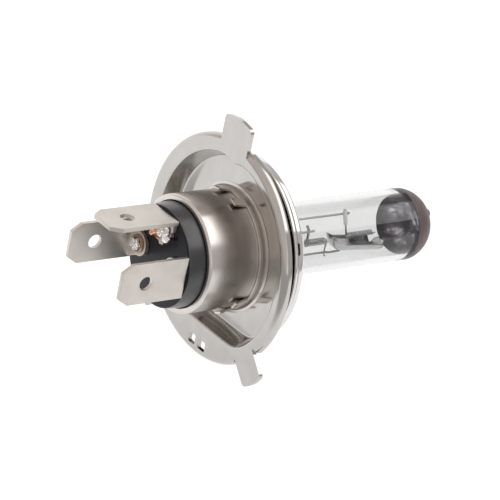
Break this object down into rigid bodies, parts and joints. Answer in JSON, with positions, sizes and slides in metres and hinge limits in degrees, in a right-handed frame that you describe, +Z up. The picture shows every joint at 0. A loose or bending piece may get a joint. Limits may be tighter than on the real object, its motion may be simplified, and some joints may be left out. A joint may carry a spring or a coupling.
{
  "type": "headlight bulb",
  "caption": "Halogen headlight bulb: clear tube with dark tip, two filaments and shield, steel flange with three lugs, shell, black insulator and three flat contact blades.",
  "frame": {"origin": "centre of the flange ring, in the plane of its flat rear face", "axes": "+Y along the bulb's axis from the contact blades towards the glass tip, +Z up through the wide lug, +X to the right when looking forward"},
  "size_m": [0.043, 0.0771, 0.0477],
  "materials": {
    "nickel_plate": "satin nickel plating",
    "bright_steel": "polished",
    "blade_tin": "matte tin plating",
    "insulator_black": "moulded, slightly glossy",
    "eyelet_brass": "dull brown",
    "solder": "bright, uneven",
    "copper_wire": "drawn copper",
    "quartz_glass": "clear, polished",
    "tip_coating": "dark anti-glare coating, half matt",
    "tungsten": "drawn wire",
    "molybdenum": "bright drawn metal",
    "bead_glass": "milky glass"
  },
  "bodies": {
    "root": {"flange": "nickel_plate", "base_shell": "nickel_plate", "crimp_ring": "nickel_plate", "collar": "bright_steel", "glass_sleeve": "bright_steel", "glass_envelope": "quartz_glass", "pinch_seal": "quartz_glass", "tip_coating": "tip_coating", "foil_left": "molybdenum", "foil_centre": "molybdenum", "foil_right": "molybdenum", "insulator": "insulator_black", "blade_top": "blade_tin", "blade_left": "blade_tin", "blade_right": "blade_tin", "eyelet_top": "eyelet_brass", "eyelet_left": "eyelet_brass", "eyelet_right": "eyelet_brass", "solder_top": "solder", "solder_left": "solder", "solder_right": "solder", "supply_wire_top": "copper_wire", "supply_wire_left": "copper_wire", "supply_wire_right": "copper_wire", "filament_main": "tungsten", "filament_dipped": "tungsten", "beam_shield": "molybdenum", "lead_upper": "molybdenum", "lead_centre": "molybdenum", "lead_lower": "molybdenum", "post_dipped": "molybdenum", "post_main": "molybdenum", "hook_main": "molybdenum", "post_bead": "bead_glass"}
  },
  "joints": []
}
